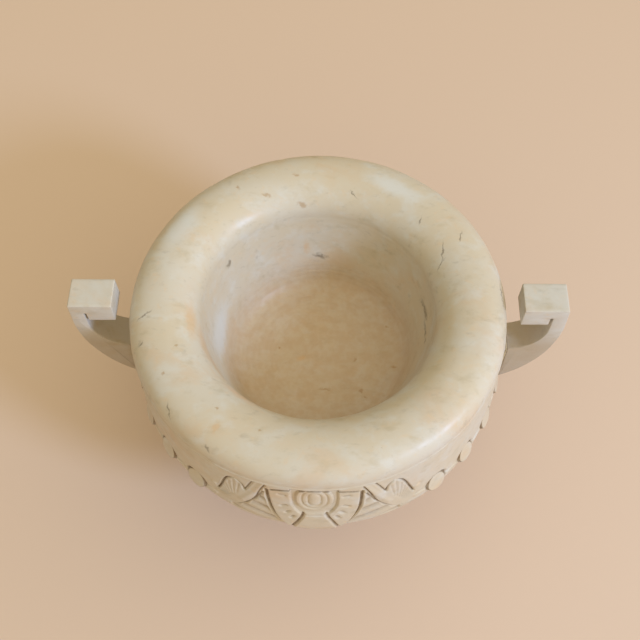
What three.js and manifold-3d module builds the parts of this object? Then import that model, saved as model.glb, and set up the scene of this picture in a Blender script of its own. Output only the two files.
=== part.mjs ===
// Marble urn with two handles, built in sections as a stone carver builds one.
// Millimetres, +Z up. The origin lies on the ground under the turning axis, and the front faces -Y.

import * as THREE from 'three';
import { mergeVertices } from 'three/addons/utils/BufferGeometryUtils.js';
import Module from 'manifold-3d';

const wasm = await Module();
wasm.setup();

// Clear space that neighbouring pieces keep
const jointGap = 0.3;

// Foot: round moulded base with a recess for the nut
const footRadius = 112;
const footHeight = 44;
const footPlinthHeight = 15;
const footRollRadius = 9;
const footRollInset = 3;
const footFilletHeight = 2;
const footTopRadius = 58;

// Stem: turned section with a hollow waist and a ring moulding under the bowl
const stemHeight = 30;
const stemWaistRadius = 37;
const stemFootSetback = 10;
const stemRingSetback = 2;
const stemRingHeight = 9;
const stemNeckInset = 6;
const waistShare = 0.6;

// Mortar beds between the sections
const beddingThickness = 2;
const beddingSetback = 4;

// Bowl: the rim sets the width, and the wall, the inside and the handles follow it
const rimRadius = 180;
const shoulderInset = 0.8;
const shoulderDrop = 7;
const bellySwell = 3.6;
const bellyDrop = 90;
const bowlDepthBelowBelly = 84;
const bowlSeatRadius = 58;

// Rolled lip of the rim
const lipCrestInset = 29;
const lipCrestRise = 20.5;
const lipInnerWidth = 38;
const lipInnerDrop = 30;
const lipStartAngle = -8;
const throatStartAngle = 105;

// Inside of the bowl, from the throat down the leaning wall to a nearly flat floor
const wallLean = 19.6;
const wallHollow = 2;
const floorCornerDrop = 83;
const floorFilletWidth = 13.4;
const floorFilletDrop = 11;
const floorDish = 5;

// Handles: square block on top, saw slit behind it, arm bent in to the bowl, flat seat on the bowl
const handleDepth = 30.6;
const seatProud = 3.8;
const fingerGap = 34;
const armThickness = 14.5;
const blockWidth = 41.8;
const blockHeight = 25.8;
const blockTopRise = 25;
const blockSetback = 1.3;
const slitWidth = 2;
const slitHeight = 12;
const innerBendBelowBlock = 11.2;
const innerBendRadius = 41;
const outerBendBelowBlock = 6.2;
const outerBendWidth = 86;
const outerBendHeight = 119;

// Adhesive beds and dowels of the handles
const handleBedThickness = 1.4;
const handleBedSetback = 2.5;
const dowelRadius = 4;
const dowelDepthInBowl = 30;
const dowelDepthInHandle = 12;
const upperDowelBelowRootTop = 11.5;
const lowerDowelAboveRootBottom = 24;

// Metal rod, washer and nut through the foot and the stem
const rodRadius = 8;
const rodDepthInBowl = 38;
const rodBoreClearance = 0.8;
const rodEndBelowNut = 4;
const nutSides = 6;
const nutAcrossCorners = 30;
const nutHeight = 12;
const washerRadius = 21;
const washerThickness = 3;
const recessClearance = 3;
const nutRecessDepth = 22;

// Carved festoon, cut into the wall: each form stands in a groove of this width and depth
const grooveWidth = 3;
const grooveDepth = 3.5;

// String with flat oval discs that lean back at the top
const stringDrop = 82;
const stringWidth = 8.5;
const stringProud = 1.8;
const stringStartAngle = 30;
const discSpacing = 13.1;
const firstDiscAngle = 38.8;
const discsPerQuarter = 4;
const discWidth = 22;
const discHeight = 29;
const discDrop = 79;
const discInset = 1;
const discLeanBack = 12;

// Tablet at the front and the back, prouder at its foot, with an oval boss and two straps that end in shells
const tabletWidth = 86;
const tabletHeight = 99;
const tabletHeadProud = 0.8;
const tabletFootProud = 4.8;
const bossWidth = 35;
const bossHeight = 55;
const bossDrop = 28;
const bossProud = 0.4;
const squareness = 2.5;
const strapAngle = 20;
const strapDrop = 47;
const strapWidth = 9;
const strapLength = 84;
const strapLean = 22;
const shellAngle = 25;
const shellDrop = 52;
const shellWidth = 24;
const shellHeight = 68;
const shellLean = 15;
const festoonProud = 1;
const reliefSink = 9;

// Fineness of the round forms
const turnedSteps = 64;
const smallTurnSteps = 32;
const pinSteps = 16;
const mouldingSteps = 8;
const bendSteps = 9;
const throatSteps = 6;
const filletSteps = 3;
const tabletSteps = 24;
const ovalSteps = 12;
const wallSteps = 3;
const underStepAngle = 8.2;
const underSteps = 10;

// Heights worked out from the sizes above
const stemBottom = footHeight + beddingThickness;
const stemTop = stemBottom + stemHeight;
const bowlBottom = stemTop + beddingThickness;
const bellyHeight = bowlBottom + bowlDepthBelowBelly;
const rimHeight = bellyHeight + bellyDrop;
const blockTop = rimHeight + blockTopRise;
const blockUnderside = blockTop - blockHeight;

// Radii and reaches worked out from the sizes above
const shoulderRadius = rimRadius - shoulderInset;
const bellyRadius = rimRadius + bellySwell;
const underReach = bellyRadius - bowlSeatRadius;
const lipCrestRadius = rimRadius - lipCrestInset;
const throatRadius = lipCrestRadius - lipInnerWidth;
const floorCornerRadius = throatRadius - wallLean;
const floorEdgeRadius = floorCornerRadius - floorFilletWidth;
const seatReach = bellyRadius + seatProud;
const rootReach = seatReach + handleBedThickness + 2 * jointGap;
const armInnerReach = seatReach + fingerGap;
const armOuterReach = armInnerReach + armThickness;
const blockOuterReach = armOuterReach - blockSetback;
const blockInnerReach = blockOuterReach - blockWidth;
const slitReach = armInnerReach - slitWidth;
const seatInside = bellyRadius - reliefSink;
const stemFootRadius = footTopRadius - stemFootSetback;
const stemRingRadius = bowlSeatRadius - stemRingSetback;

// The two lines of a handle's arm, each an elliptical bend that starts upright and runs in to the bowl
const innerBend = {
  centre: armInnerReach - innerBendRadius,
  level: blockUnderside - innerBendBelowBlock,
  width: innerBendRadius,
  height: innerBendRadius,
};
const outerBend = {
  centre: armOuterReach - outerBendWidth,
  level: blockUnderside - outerBendBelowBlock,
  width: outerBendWidth,
  height: outerBendHeight,
};

// Height of a bend at a distance from the turning axis
function bendHeight(bend, reach) {
  const share = (reach - bend.centre) / bend.width;
  return bend.level - bend.height * Math.sqrt(1 - share * share);
}

const rootTop = bendHeight(innerBend, rootReach);
const rootBottom = bendHeight(outerBend, rootReach);
const dowelHeights = {
  upper: rootTop - upperDowelBelowRootTop,
  lower: rootBottom + lowerDowelAboveRootBottom,
};

// A closed mesh becomes a solid once its shared corners are merged
function toSolid(geometry) {
  const bare = geometry.clone();
  bare.deleteAttribute('normal');
  bare.deleteAttribute('uv');
  const merged = mergeVertices(bare, 1e-4);
  const corners = merged.index.array;
  const kept = [];
  for (let i = 0; i < corners.length; i += 3) {
    const [a, b, c] = [corners[i], corners[i + 1], corners[i + 2]];
    if (a !== b && b !== c && c !== a) kept.push(a, b, c);
  }
  return new wasm.Manifold(new wasm.Mesh({
    numProp: 3,
    vertProperties: new Float32Array(merged.attributes.position.array),
    triVerts: new Uint32Array(kept),
  }));
}

function toGeometry(solid) {
  const mesh = solid.getMesh();
  const geometry = new THREE.BufferGeometry();
  geometry.setAttribute('position', new THREE.BufferAttribute(mesh.vertProperties, 3));
  geometry.setIndex(new THREE.BufferAttribute(mesh.triVerts, 1));
  geometry.computeVertexNormals();
  return geometry;
}

// Points of an elliptical arc, angles in degrees from the outward direction
function arc(centreR, centreZ, reachR, reachZ, from, to, steps) {
  const points = [];
  for (let i = 0; i <= steps; i += 1) {
    const angle = THREE.MathUtils.degToRad(from + ((to - from) * i) / steps);
    points.push([centreR + reachR * Math.cos(angle), centreZ + reachZ * Math.sin(angle)]);
  }
  return points;
}

// A turned solid from its half outline, listed from the bottom of the axis to the top of it
function turned(outline, steps) {
  const points = outline.map(([r, z]) => new THREE.Vector2(r, z));
  const geometry = new THREE.LatheGeometry(points, steps);
  geometry.rotateX(Math.PI / 2);
  return toSolid(geometry);
}

function upright(radius, from, to, steps) {
  return turned([[0, from], [radius, from], [radius, to], [0, to]], steps);
}

// A flat ring
function ring(inner, outer, from, to, steps) {
  return upright(outer, from, to, steps).subtract(upright(inner, from - 1, to + 1, steps));
}

// A plate from its outline, lying in the XY plane with its thickness up
function extruded(outline, depth) {
  const shape = new THREE.Shape(outline.map(([x, y]) => new THREE.Vector2(x, y)));
  return new THREE.ExtrudeGeometry(shape, { depth, bevelEnabled: false, curveSegments: 1 });
}

// A plate whose outline lies in the XZ plane, its thickness centred on Y
function plateAcrossY(points, depth) {
  const geometry = extruded(points, depth);
  geometry.translate(0, 0, -depth / 2);
  geometry.rotateX(Math.PI / 2);
  return toSolid(geometry);
}

function block(x0, x1, y0, y1, z0, z1) {
  const geometry = new THREE.BoxGeometry(x1 - x0, y1 - y0, z1 - z0);
  geometry.translate((x0 + x1) / 2, (y0 + y1) / 2, (z0 + z1) / 2);
  return toSolid(geometry);
}

function inOrder(a, b) {
  return a < b ? [a, b] : [b, a];
}

// A round pin that lies along X at height z, on one side of the vessel, between two distances from its axis
function pinAlongX(side, near, far, z, radius) {
  const [x0, x1] = inOrder(side * near, side * far);
  const geometry = new THREE.CylinderGeometry(radius, radius, x1 - x0, pinSteps);
  geometry.rotateZ(Math.PI / 2);
  geometry.translate((x0 + x1) / 2, 0, z);
  return toSolid(geometry);
}

// Outside radius of the bowl wall at a drop below the rim line
function wallRadius(drop) {
  if (drop > bellyDrop) {
    const under = (drop - bellyDrop) / bowlDepthBelowBelly;
    return bowlSeatRadius + underReach * Math.sqrt(1 - under * under);
  }
  const share = (drop - shoulderDrop) / (bellyDrop - shoulderDrop);
  return shoulderRadius + (bellyRadius - shoulderRadius) * Math.sin((share * Math.PI) / 2);
}

function wallPoint(drop) {
  return [wallRadius(drop), rimHeight - drop];
}

// Drops of the outline's corners, counted down from the shoulder to the belly and on under it
function wallDrop(step) {
  return shoulderDrop + ((bellyDrop - shoulderDrop) * step) / wallSteps;
}

function underDrop(step) {
  return bellyDrop + bowlDepthBelowBelly * Math.sin(THREE.MathUtils.degToRad(step * underStepAngle));
}

function bowlOutline() {
  const outline = [[0, bowlBottom], [bowlSeatRadius, bowlBottom]];
  for (let i = underSteps; i > 0; i -= 1) outline.push(wallPoint(underDrop(i)));
  for (let i = wallSteps; i >= 0; i -= 1) outline.push(wallPoint(wallDrop(i)));
  const lip = [lipCrestInset, lipCrestRise, lipStartAngle, 90, mouldingSteps];
  outline.push(...arc(lipCrestRadius, rimHeight, ...lip));
  const throatHeight = rimHeight + lipCrestRise - lipInnerDrop;
  const throat = [lipInnerWidth, lipInnerDrop, throatStartAngle, 180, throatSteps];
  outline.push(...arc(lipCrestRadius, throatHeight, ...throat));
  const cornerHeight = rimHeight - floorCornerDrop;
  const filletHeight = cornerHeight - floorFilletDrop;
  outline.push([(throatRadius + floorCornerRadius) / 2 + wallHollow, (throatHeight + cornerHeight) / 2]);
  const fillet = [floorFilletWidth, floorFilletDrop, 0, -90, filletSteps];
  outline.push(...arc(floorEdgeRadius, cornerHeight, ...fillet));
  outline.push([0, filletHeight - floorDish]);
  return outline;
}

// A ring that follows the wall through a list of drops, from a depth under its surface to a height over it,
// which is worked out for each drop
function wallRing(drops, under, over) {
  const outer = drops.map((drop) => [wallRadius(drop) + over(drop), rimHeight - drop]);
  const inner = drops.map((drop) => [wallRadius(drop) - under, rimHeight - drop]);
  outer.reverse();
  return turned([...outer, ...inner, outer[0]], turnedSteps);
}

// A closed oval as (across, up) points round its centre; a squareness of 2 is an ellipse, more is squarer
function oval(width, height, square, lean, steps) {
  const points = [];
  for (let i = 0; i < steps; i += 1) {
    const turn = (2 * Math.PI * (i + 0.5)) / steps;
    const [cos, sin] = [Math.cos(turn), Math.sin(turn)];
    const across = (width / 2) * Math.sign(cos) * Math.abs(cos) ** (2 / square);
    const up = (height / 2) * Math.sign(sin) * Math.abs(sin) ** (2 / square);
    points.push(leaned(across, up, lean));
  }
  return points;
}

// A leaning bar as (across, up) points round its centre
function bar(width, length, lean) {
  const corners = [[-1, -1], [1, -1], [1, 1], [-1, 1]];
  return corners.map(([across, up]) => leaned((across * width) / 2, (up * length) / 2, lean));
}

// A point turned about the centre so that its upper end goes to the left by the lean in degrees
function leaned(across, up, lean) {
  const turn = THREE.MathUtils.degToRad(lean);
  return [across * Math.cos(turn) - up * Math.sin(turn), across * Math.sin(turn) + up * Math.cos(turn)];
}

// A prism of that outline that runs out from the turning axis at a drop and an angle from the front
function spoke(outline, drop, angle) {
  const geometry = extruded(outline, bellyRadius + reliefSink);
  geometry.rotateX(Math.PI / 2);
  geometry.translate(0, 0, rimHeight - drop);
  geometry.rotateZ(THREE.MathUtils.degToRad(angle));
  return toSolid(geometry);
}

// Corner drops of the carved part of the wall, from the shoulder to below the tablets
const carvingEnd = shoulderDrop + tabletHeight + 2 * grooveWidth;
const carvedDrops = [];
for (let i = 0; i <= wallSteps; i += 1) carvedDrops.push(wallDrop(i));
for (let i = 1; underDrop(i - 1) < carvingEnd; i += 1) carvedDrops.push(underDrop(i));

// A form that stands over the wall by a height worked out for each drop, and a hollow cut into the wall
function raised(outline, drop, angle, over) {
  return spoke(outline, drop, angle).intersect(wallRing(carvedDrops, reliefSink, over));
}

function hollow(outline, drop, angle) {
  return spoke(outline, drop, angle).intersect(wallRing(carvedDrops, grooveDepth, () => reliefSink));
}

// The string round the wall, left out between the shells of the front and of the back
function stringBand() {
  const [high, low] = [stringDrop - stringWidth / 2, stringDrop + stringWidth / 2];
  const half = bellyRadius * Math.sin(THREE.MathUtils.degToRad(stringStartAngle));
  const reach = 2 * bellyRadius;
  const bare = block(-half, half, -reach, reach, rimHeight - low - 1, rimHeight - high + 1);
  return wallRing([high, low], reliefSink, () => stringProud).subtract(bare);
}

// A flat disc that leans back into the wall at its top
function disc(angle) {
  const geometry = extruded(oval(discWidth, discHeight, 2, 0, ovalSteps), reliefSink);
  geometry.translate(0, 0, -reliefSink - discInset);
  geometry.rotateX(Math.PI / 2 - THREE.MathUtils.degToRad(discLeanBack));
  geometry.translate(0, -wallRadius(discDrop), rimHeight - discDrop);
  geometry.rotateZ(THREE.MathUtils.degToRad(angle));
  return toSolid(geometry);
}

// A strap that runs down from the tablet's top corner and ends in a shell, on one side of the front or back
function strapWithShell(body, front, side) {
  const [strapAt, shellAt] = [front + side * strapAngle, front + side * shellAngle];
  const [strapTurn, shellTurn] = [side * strapLean, side * shellLean];
  const gap = 2 * grooveWidth;
  const strap = bar(strapWidth, strapLength, strapTurn);
  const strapHollow = bar(strapWidth + gap, strapLength, strapTurn);
  const shell = oval(shellWidth, shellHeight, 2, shellTurn, ovalSteps);
  const shellHollow = oval(shellWidth + gap, shellHeight + gap, 2, shellTurn, ovalSteps);
  return body
    .subtract(hollow(strapHollow, strapDrop, strapAt))
    .subtract(hollow(shellHollow, shellDrop, shellAt))
    .add(raised(strap, strapDrop, strapAt, () => festoonProud))
    .add(raised(shell, shellDrop, shellAt, () => festoonProud));
}

function stringOfDiscs(body, front, side) {
  const discHollow = oval(discWidth + 2 * grooveWidth, discHeight + 2 * grooveWidth, 2, 0, ovalSteps);
  let solid = body;
  for (let i = 0; i < discsPerQuarter; i += 1) {
    const angle = front + side * (firstDiscAngle + i * discSpacing);
    solid = solid.subtract(hollow(discHollow, discDrop, angle)).add(disc(angle));
  }
  return solid;
}

// How far the tablet stands over the wall, little at its head and more towards its foot
function tabletProud(drop) {
  const share = (drop - shoulderDrop) / tabletHeight;
  return tabletHeadProud + (tabletFootProud - tabletHeadProud) * share * share;
}

// The tablet is the lower half of an upright oval, and the boss an oval on it that its top edge cuts
function tabletWithBoss(body, front) {
  const [outer, gap] = [2 * tabletHeight, 2 * grooveWidth];
  const tablet = oval(tabletWidth, outer, squareness, 0, tabletSteps);
  const tabletHollow = oval(tabletWidth + 2 * gap, outer + 2 * gap, squareness, 0, tabletSteps);
  const boss = oval(bossWidth, bossHeight, squareness, 0, tabletSteps);
  const bossHollow = oval(bossWidth + gap, bossHeight + gap, squareness, 0, tabletSteps);
  return body
    .subtract(hollow(tabletHollow, shoulderDrop, front))
    .add(raised(tablet, shoulderDrop, front, tabletProud))
    .subtract(hollow(bossHollow, bossDrop, front))
    .add(raised(boss, bossDrop, front, (drop) => tabletProud(drop) + bossProud));
}

// Flat seat for a handle root, sunk into the wall behind it, its edges in line with the arm's bends
function handleSeat(side) {
  const corners = [
    [seatInside, bendHeight(innerBend, seatInside)],
    [seatInside, bendHeight(outerBend, seatInside)],
    [seatReach, bendHeight(outerBend, seatReach)],
    [seatReach, bendHeight(innerBend, seatReach)],
  ];
  return plateAcrossY(corners.map(([x, z]) => [side * x, z]), handleDepth);
}

function bowl() {
  let solid = turned(bowlOutline(), turnedSteps).add(stringBand());
  for (const front of [0, 180]) {
    for (const side of [-1, 1]) {
      solid = strapWithShell(solid, front, side);
      solid = stringOfDiscs(solid, front, side);
    }
    solid = tabletWithBoss(solid, front);
  }
  for (const side of [-1, 1]) solid = solid.add(handleSeat(side));
  for (const side of [-1, 1]) {
    for (const height of Object.values(dowelHeights)) {
      const deep = seatReach - dowelDepthInBowl - jointGap;
      solid = solid.subtract(pinAlongX(side, deep, seatReach + 1, height, dowelRadius + jointGap));
    }
  }
  const socketTop = bowlBottom + rodDepthInBowl + jointGap;
  return solid.subtract(upright(rodRadius + jointGap, bowlBottom - 1, socketTop, smallTurnSteps));
}

// Points of a bend from the root up to where it turns upright
function bendPoints(bend) {
  const from = -THREE.MathUtils.radToDeg(Math.acos((rootReach - bend.centre) / bend.width));
  return arc(bend.centre, bend.level, bend.width, bend.height, from, 0, bendSteps);
}

// Outline of a handle in the XZ plane, from the top block down the arm to the root and back
function handleOutline() {
  return [
    [blockInnerReach, blockTop],
    [blockInnerReach, blockUnderside],
    [slitReach, blockUnderside],
    [slitReach, blockUnderside + slitHeight],
    [armInnerReach, blockUnderside + slitHeight],
    ...bendPoints(innerBend).reverse(),
    ...bendPoints(outerBend),
    [blockOuterReach, blockTop],
  ];
}

function handle(side) {
  let solid = plateAcrossY(handleOutline().map(([x, z]) => [side * x, z]), handleDepth);
  for (const height of Object.values(dowelHeights)) {
    const deep = rootReach + dowelDepthInHandle + jointGap;
    solid = solid.subtract(pinAlongX(side, rootReach - 1, deep, height, dowelRadius + jointGap));
  }
  return solid;
}

function handleBed(side) {
  const half = handleDepth / 2 - handleBedSetback;
  const near = seatReach + jointGap;
  const far = near + handleBedThickness;
  const [x0, x1] = inOrder(side * near, side * far);
  let solid = block(x0, x1, -half, half, rootBottom + handleBedSetback, rootTop - handleBedSetback);
  for (const height of Object.values(dowelHeights)) {
    solid = solid.subtract(pinAlongX(side, near - 1, far + 1, height, dowelRadius + jointGap));
  }
  return solid;
}

function handleDowel(side, height) {
  return pinAlongX(side, seatReach - dowelDepthInBowl, rootReach + dowelDepthInHandle, height, dowelRadius);
}

function stem() {
  const waistHeight = stemHeight - stemRingHeight;
  const ringHalf = stemRingHeight / 2;
  const outline = [[0, stemBottom], [stemFootRadius, stemBottom]];
  for (let i = 1; i <= mouldingSteps; i += 1) {
    const share = i / mouldingSteps;
    const below = share < waistShare;
    const widest = below ? stemFootRadius : stemRingRadius - stemNeckInset;
    const away = below ? 1 - share / waistShare : (share - waistShare) / (1 - waistShare);
    const radius = stemWaistRadius + (widest - stemWaistRadius) * away * away;
    outline.push([radius, stemBottom + waistHeight * share]);
  }
  const ringArc = [ringHalf, ringHalf, -90, 90, mouldingSteps];
  outline.push(...arc(stemRingRadius - ringHalf, stemTop - ringHalf, ...ringArc));
  outline.push([0, stemTop]);
  const bore = upright(rodRadius + rodBoreClearance, stemBottom - 1, stemTop + 1, smallTurnSteps);
  return turned(outline, smallTurnSteps).subtract(bore);
}

function foot() {
  const rollCentre = footPlinthHeight + footRollRadius;
  const coveBottom = rollCentre + footRollRadius;
  const coveTop = footHeight - footFilletHeight;
  const rollReach = footRadius - footRollRadius - footRollInset;
  const coveReach = rollReach - footRollInset - footTopRadius;
  const outline = [[0, 0], [footRadius, 0], [footRadius, footPlinthHeight]];
  const rollArc = [footRollRadius, footRollRadius, -90, 90, mouldingSteps];
  const coveArc = [coveReach, coveTop - coveBottom, 270, 180, mouldingSteps];
  outline.push(...arc(rollReach, rollCentre, ...rollArc));
  outline.push(...arc(footTopRadius + coveReach, coveTop, ...coveArc));
  outline.push([footTopRadius, footHeight], [0, footHeight]);
  const bore = upright(rodRadius + rodBoreClearance, -1, footHeight + 1, smallTurnSteps);
  const recess = upright(washerRadius + recessClearance, -1, nutRecessDepth, smallTurnSteps);
  return turned(outline, smallTurnSteps).subtract(bore).subtract(recess);
}

// Bed of mortar in a joint of the given height
function bedding(from, outerRadius) {
  const low = from + jointGap;
  const high = from + beddingThickness - jointGap;
  return ring(rodRadius + rodBoreClearance, outerRadius - beddingSetback, low, high, smallTurnSteps);
}

// The washer bears on the roof of the recess, and the nut on the washer
const washerTop = nutRecessDepth - jointGap;
const nutTop = washerTop - washerThickness - jointGap;

function nut() {
  const low = nutTop - nutHeight;
  return upright(nutAcrossCorners / 2, low, nutTop, nutSides)
    .subtract(upright(rodRadius + jointGap, low - 1, nutTop + 1, smallTurnSteps));
}

function rod() {
  const low = nutTop - nutHeight - rodEndBelowNut;
  return upright(rodRadius, low, bowlBottom + rodDepthInBowl, smallTurnSteps);
}

// Finishes: ivory marble, pale lime mortar, clear adhesive and bronze
const marble = { color: 0xcdbfa6, roughness: 0.45, metalness: 0 };
const shadedMarble = { color: 0xc9bba2, roughness: 0.5, metalness: 0 };
const mortar = { color: 0xb8ae9c, roughness: 0.9, metalness: 0 };
const adhesive = { color: 0xc9b58e, roughness: 0.6, metalness: 0 };
const bronze = { color: 0x8a6a3c, roughness: 0.45, metalness: 1 };

const urn = new THREE.Group();

function place(name, solid, finish) {
  const mesh = new THREE.Mesh(toGeometry(solid), new THREE.MeshStandardMaterial(finish));
  mesh.name = name;
  urn.add(mesh);
}

place('foot', foot(), shadedMarble);
place('foot_bedding', bedding(footHeight, Math.min(stemFootRadius, footTopRadius)), mortar);
place('stem', stem(), shadedMarble);
place('bowl_bedding', bedding(stemTop, Math.min(stemRingRadius, bowlSeatRadius)), mortar);
place('bowl', bowl(), marble);
place('centre_rod', rod(), bronze);
const washerLow = washerTop - washerThickness;
place('rod_washer', ring(rodRadius + jointGap, washerRadius, washerLow, washerTop, smallTurnSteps), bronze);
place('rod_nut', nut(), bronze);
for (const [sideName, side] of [['left', -1], ['right', 1]]) {
  place(`handle_${sideName}`, handle(side), marble);
  place(`handle_${sideName}_bedding`, handleBed(side), adhesive);
  for (const [level, height] of Object.entries(dowelHeights)) {
    place(`handle_${sideName}_dowel_${level}`, handleDowel(side, height), bronze);
  }
}

export default urn;
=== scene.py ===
import math

import bpy
import numpy as np
from mathutils import Matrix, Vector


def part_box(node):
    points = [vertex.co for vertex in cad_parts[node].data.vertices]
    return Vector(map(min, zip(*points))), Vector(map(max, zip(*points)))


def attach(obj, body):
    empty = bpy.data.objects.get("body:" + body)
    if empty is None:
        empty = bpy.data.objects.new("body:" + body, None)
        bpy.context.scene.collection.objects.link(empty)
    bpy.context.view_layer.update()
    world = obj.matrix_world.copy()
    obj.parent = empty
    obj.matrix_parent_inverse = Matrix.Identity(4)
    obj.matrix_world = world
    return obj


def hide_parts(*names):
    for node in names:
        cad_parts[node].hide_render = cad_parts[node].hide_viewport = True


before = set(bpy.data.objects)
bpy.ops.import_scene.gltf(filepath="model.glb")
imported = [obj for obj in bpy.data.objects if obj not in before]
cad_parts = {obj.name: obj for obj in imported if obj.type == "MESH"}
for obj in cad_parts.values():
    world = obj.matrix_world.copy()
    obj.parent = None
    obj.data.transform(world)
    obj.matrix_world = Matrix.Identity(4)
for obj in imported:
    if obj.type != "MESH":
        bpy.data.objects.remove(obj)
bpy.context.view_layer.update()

print("frame loaded")

mm = 0.001
scene = bpy.context.scene


# camera: looks steeply down on the rim from in front, a little turned and tilted
cameraShot = {
    "place": (0.01798, -0.43297, 1.01288),
    "turnDeg": 2.14,
    "downDeg": 61.08,
    "rollDeg": -1.23,
    "lensMm": 51.2,
    "sensorMm": 36.0,
}


def makeCamera(shot):
    data = bpy.data.cameras.new("shotCamera")
    data.lens = shot["lensMm"]
    data.sensor_width = shot["sensorMm"]
    data.sensor_fit = "HORIZONTAL"
    data.clip_end = 50
    camera = bpy.data.objects.new("shotCamera", data)
    turn = Matrix.Rotation(math.radians(shot["turnDeg"]), 4, "Z")
    tilt = Matrix.Rotation(math.radians(90 - shot["downDeg"]), 4, "X")
    roll = Matrix.Rotation(math.radians(shot["rollDeg"]), 4, "Z")
    camera.matrix_world = Matrix.Translation(shot["place"]) @ turn @ tilt @ roll
    scene.collection.objects.link(camera)
    scene.camera = camera


makeCamera(cameraShot)
print("camera set")


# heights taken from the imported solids, in millimetres
bowlLow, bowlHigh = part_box("bowl")
footLow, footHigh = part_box("foot")
stemLow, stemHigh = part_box("stem")
bowlBottom = bowlLow[2] / mm
bowlCrest = bowlHigh[2] / mm

# the bowl's turned outline in millimetres; drops are counted down from the rim line
bowlShape = {
    "rimRadius": 180.0,
    "lipCrestRadius": 151.0,
    "lipCrestRise": 20.5,
    "lipSquare": 2.35,
    "arris": ((179.3, 6.2), (180.3, 5.0), (180.9, 3.8), (180.9, 3.2), (180.2, 2.2)),
    "shoulderRadius": 179.2,
    "shoulderDrop": 7.0,
    "bellyRadius": 183.6,
    "bellyDrop": 90.0,
    "seatRadius": 58.0,
    "lipInnerDrop": 30.0,
    "throatRadius": 113.0,
    "throatEndDeg": 168,
    "inside": (
        (104.2, 46.5), (96.6, 72), (91.6, 84), (86.5, 91), (78.5, 95.2), (60, 97.4), (30, 98.8), (0, 99),
    ),
    "socketRadius": 8.3,
    "socketDepth": 38.3,
    "toolRippleMm": 0.06,
    "toolPitchMm": 5.5,
    "wallRipple": (60, 95),
    "floorRipple": (90, 20),
    "carvedDrops": (6.2, 7.6),
}
rimHeight = bowlCrest - bowlShape["lipCrestRise"]

# each handle's outline in millimetres, and the flat seat that its root stands on
handleShape = {
    "depth": 30.6,
    "blockInner": 192.8,
    "blockOuter": 234.6,
    "blockTopRise": 25.0,
    "blockUnderDrop": 0.8,
    "slitReach": 219.4,
    "slitRise": 11.2,
    "armInner": 221.4,
    "innerBend": {"centre": 180.4, "drop": 12.0, "width": 41.0, "height": 41.0},
    "outerBend": {"centre": 149.9, "drop": 7.0, "width": 86.0, "height": 119.0},
    "rootReach": 189.4,
    "seatReach": 187.4,
    "wornEdge": 0.6,
    "cornerShare": 2.2,
    "chips": 0.4,
    "wornDepth": 0.25,
    "jointGap": 0.2,
    "sliceMm": 2.6,
}


# outlines, in millimetres, as lists of (radius, height)
def arcPoints(centre, reach, start, end, steps, square=2.0):
    angles = np.radians(np.linspace(start, end, steps + 1))
    across = np.sign(np.cos(angles)) * np.abs(np.cos(angles)) ** (2 / square)
    upward = np.sign(np.sin(angles)) * np.abs(np.sin(angles)) ** (2 / square)
    return [(centre[0] + reach[0] * x, centre[1] + reach[1] * z) for x, z in zip(across, upward)]


def linePoints(first, last, step):
    count = max(1, round(math.dist(first, last) / step))
    return [tuple(np.array(first) + (np.array(last) - first) * i / count) for i in range(count + 1)]


# evenly spaced points along a smooth curve through the given ones
def smoothPoints(points, step):
    points = np.array(points, float)
    padded = np.vstack([points[:1], points, points[-1:]])
    t = np.linspace(0, 1, 40, endpoint=False)[:, None]
    dense = []
    for before, start, end, after in zip(padded, padded[1:], padded[2:], padded[3:]):
        square = 2 * before - 5 * start + 4 * end - after
        cube = 3 * start - before - 3 * end + after
        dense.append(0.5 * (2 * start + (end - before) * t + square * t ** 2 + cube * t ** 3))
    dense = np.vstack(dense + [points[-1:]])
    lengths = np.concatenate([[0], np.cumsum(np.hypot(*np.diff(dense, axis=0).T))])
    wanted = np.linspace(0, lengths[-1], max(2, round(lengths[-1] / step)) + 1)
    return list(zip(np.interp(wanted, lengths, dense[:, 0]), np.interp(wanted, lengths, dense[:, 1])))


def joined(*stretches):
    points = []
    for stretch in stretches:
        for point in stretch:
            if not points or math.dist(points[-1], point) > 0.01:
                points.append(tuple(float(v) for v in point))
    return points


def rise(x, low, high):
    t = np.clip((x - low) / (high - low), 0, 1)
    return t * t * (3 - 2 * t)


# slow waviness left by hand finishing, in millimetres, never more than half a millimetre
def handWobble(x, y, z):
    total = 0
    for fx, fy, fz, shift, size in ((0.021, 0.034, 0.027, 0.3, 0.22), (-0.047, 0.029, 0.051, 1.7, 0.14),
                                    (0.083, -0.071, 0.064, 2.9, 0.08), (0.13, 0.17, -0.11, 4.1, 0.05)):
        total = total + size * np.sin(x * fx + y * fy + z * fz + shift + 1.4 * np.sin(z * fx - x * fy))
    return total


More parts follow.
